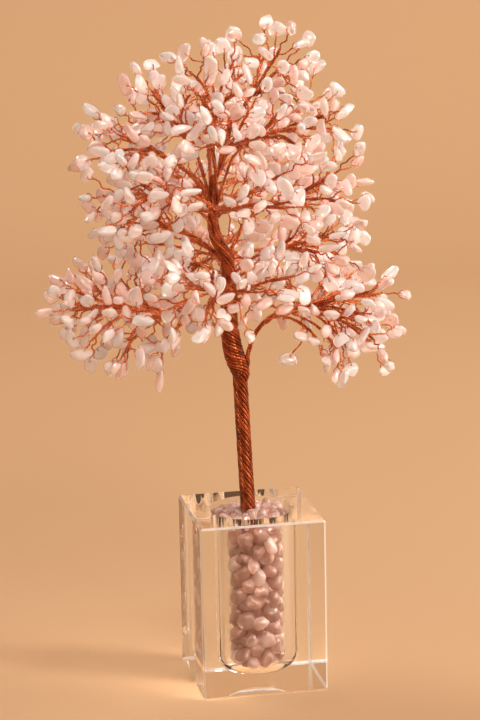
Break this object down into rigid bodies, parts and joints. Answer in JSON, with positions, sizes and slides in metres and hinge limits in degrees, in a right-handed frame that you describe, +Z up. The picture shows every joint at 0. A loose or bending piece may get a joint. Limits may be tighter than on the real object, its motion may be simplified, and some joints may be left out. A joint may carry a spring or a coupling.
{
  "type": "gemstone tree ornament",
  "caption": "Ornamental tree of drilled pink quartz chips on bendable copper wire boughs, its wound stem planted in loose chips in the blind bore of a square clear glass block.",
  "frame": {"origin": "centre of the glass block's underside, on the surface that it stands on", "axes": "+Z up, +X to the right and -Y towards the viewer of the picture, block faces along X and Y"},
  "size_m": [0.1517, 0.1395, 0.2635],
  "materials": {
    "crystal": "polished clear crystal glass with ground bevels",
    "quartz": "tumbled translucent rose quartz, waxy polish",
    "copper": "bright enamelled copper wire, twisted and wound"
  },
  "bodies": {
    "base": {"glass_block": "crystal", "fill_bottom": "quartz", "fill_lower": "quartz", "fill_upper": "quartz", "fill_top": "quartz"},
    "tree": {"stem_core": "copper", "stem_sleeve": "copper", "trunk": "copper"},
    "lower_right": {"lower_right_limb": "copper", "lower_right_twigs": "copper", "lower_right_chips": "quartz"},
    "lower_left": {"lower_left_limb": "copper", "lower_left_twigs": "copper", "lower_left_chips": "quartz"},
    "left_low": {"left_low_limb": "copper", "left_low_twigs": "copper", "left_low_chips": "quartz"},
    "left_middle": {"left_middle_limb": "copper", "left_middle_twigs": "copper", "left_middle_chips": "quartz"},
    "left_high": {"left_high_limb": "copper", "left_high_twigs": "copper", "left_high_chips": "quartz"},
    "upper_left": {"upper_left_limb": "copper", "upper_left_twigs": "copper", "upper_left_chips": "quartz"},
    "top_left": {"top_left_limb": "copper", "top_left_twigs": "copper", "top_left_chips": "quartz"},
    "top_peak": {"top_peak_limb": "copper", "top_peak_twigs": "copper", "top_peak_chips": "quartz"},
    "top_right": {"top_right_limb": "copper", "top_right_twigs": "copper", "top_right_chips": "quartz"},
    "right_high": {"right_high_limb": "copper", "right_high_twigs": "copper", "right_high_chips": "quartz"},
    "right_middle": {"right_middle_limb": "copper", "right_middle_twigs": "copper", "right_middle_chips": "quartz"},
    "front_low": {"front_low_limb": "copper", "front_low_twigs": "copper", "front_low_chips": "quartz"},
    "front_high": {"front_high_limb": "copper", "front_high_twigs": "copper", "front_high_chips": "quartz"},
    "back_low": {"back_low_limb": "copper", "back_low_twigs": "copper", "back_low_chips": "quartz"},
    "back_middle": {"back_middle_limb": "copper", "back_middle_twigs": "copper", "back_middle_chips": "quartz"},
    "back_high": {"back_high_limb": "copper", "back_high_twigs": "copper", "back_high_chips": "quartz"},
    "front_top": {"front_top_limb": "copper", "front_top_twigs": "copper", "front_top_chips": "quartz"}
  },
  "joints": [
    {"name": "tree_lift", "type": "slide", "parent": "base", "child": "tree", "axis": [-0.0407, 0, 0.9992], "range_m": [0, 0.065]},
    {"name": "lower_right_bend", "type": "hinge", "parent": "tree", "child": "lower_right", "pos_m": [0.00001, -0.00085, 0.13316], "axis": [-0.0022, 1, 0], "range_deg": [-8, 15]},
    {"name": "lower_left_bend", "type": "hinge", "parent": "tree", "child": "lower_left", "pos_m": [-0.01165, -0.00138, 0.14467], "axis": [-0.0025, -1, 0], "range_deg": [-8, 15]},
    {"name": "left_low_bend", "type": "hinge", "parent": "tree", "child": "left_low", "pos_m": [-0.01145, 0.00286, 0.17296], "axis": [-0.3944, -0.9189, 0], "range_deg": [-5, 7]},
    {"name": "left_middle_bend", "type": "hinge", "parent": "tree", "child": "left_middle", "pos_m": [-0.01489, -0.00319, 0.18673], "axis": [0.4575, -0.8892, 0], "range_deg": [-5, 7]},
    {"name": "left_high_bend", "type": "hinge", "parent": "tree", "child": "left_high", "pos_m": [-0.01497, -0.00021, 0.19535], "axis": [-0.1374, -0.9905, 0], "range_deg": [-5, 7]},
    {"name": "upper_left_bend", "type": "hinge", "parent": "tree", "child": "upper_left", "pos_m": [-0.01468, 0.00123, 0.19974], "axis": [-0.3628, -0.9318, 0], "range_deg": [-4, 6]},
    {"name": "top_left_bend", "type": "hinge", "parent": "tree", "child": "top_left", "pos_m": [-0.01109, 0, 0.20522], "axis": [0.9062, 0.4228, 0], "range_deg": [-4, 6]},
    {"name": "top_peak_bend", "type": "hinge", "parent": "tree", "child": "top_peak", "pos_m": [-0.0106, 0.00234, 0.20099], "axis": [0.0746, 0.9972, 0], "range_deg": [-4, 6]},
    {"name": "top_right_bend", "type": "hinge", "parent": "tree", "child": "top_right", "pos_m": [-0.0098, -0.00186, 0.19783], "axis": [0.1874, 0.9823, 0], "range_deg": [-5, 7]},
    {"name": "right_high_bend", "type": "hinge", "parent": "tree", "child": "right_high", "pos_m": [-0.00517, 0.00161, 0.17492], "axis": [-0.2548, 0.967, 0], "range_deg": [-5, 7]},
    {"name": "right_middle_bend", "type": "hinge", "parent": "tree", "child": "right_middle", "pos_m": [-0.00408, -0.00198, 0.16628], "axis": [0.339, 0.9408, 0], "range_deg": [-5, 7]},
    {"name": "front_low_bend", "type": "hinge", "parent": "tree", "child": "front_low", "pos_m": [-0.00808, -0.00384, 0.15489], "axis": [0.9964, -0.085, 0], "range_deg": [-5, 8]},
    {"name": "front_high_bend", "type": "hinge", "parent": "tree", "child": "front_high", "pos_m": [-0.01228, -0.00378, 0.18352], "axis": [1, 0.0097, 0], "range_deg": [-5, 7]},
    {"name": "back_low_bend", "type": "hinge", "parent": "tree", "child": "back_low", "pos_m": [-0.00683, 0.0046, 0.15785], "axis": [-0.9991, 0.0431, 0], "range_deg": [-4, 8]},
    {"name": "back_middle_bend", "type": "hinge", "parent": "tree", "child": "back_middle", "pos_m": [-0.0099, 0.00356, 0.17845], "axis": [-0.9983, 0.0578, 0], "range_deg": [-5, 7]},
    {"name": "back_high_bend", "type": "hinge", "parent": "tree", "child": "back_high", "pos_m": [-0.01252, 0.00221, 0.19184], "axis": [-0.9804, 0.197, 0], "range_deg": [-4, 6]},
    {"name": "front_top_bend", "type": "hinge", "parent": "tree", "child": "front_top", "pos_m": [-0.01236, -0.00277, 0.19769], "axis": [0.9751, 0.2219, 0], "range_deg": [-4, 6]}
  ]
}
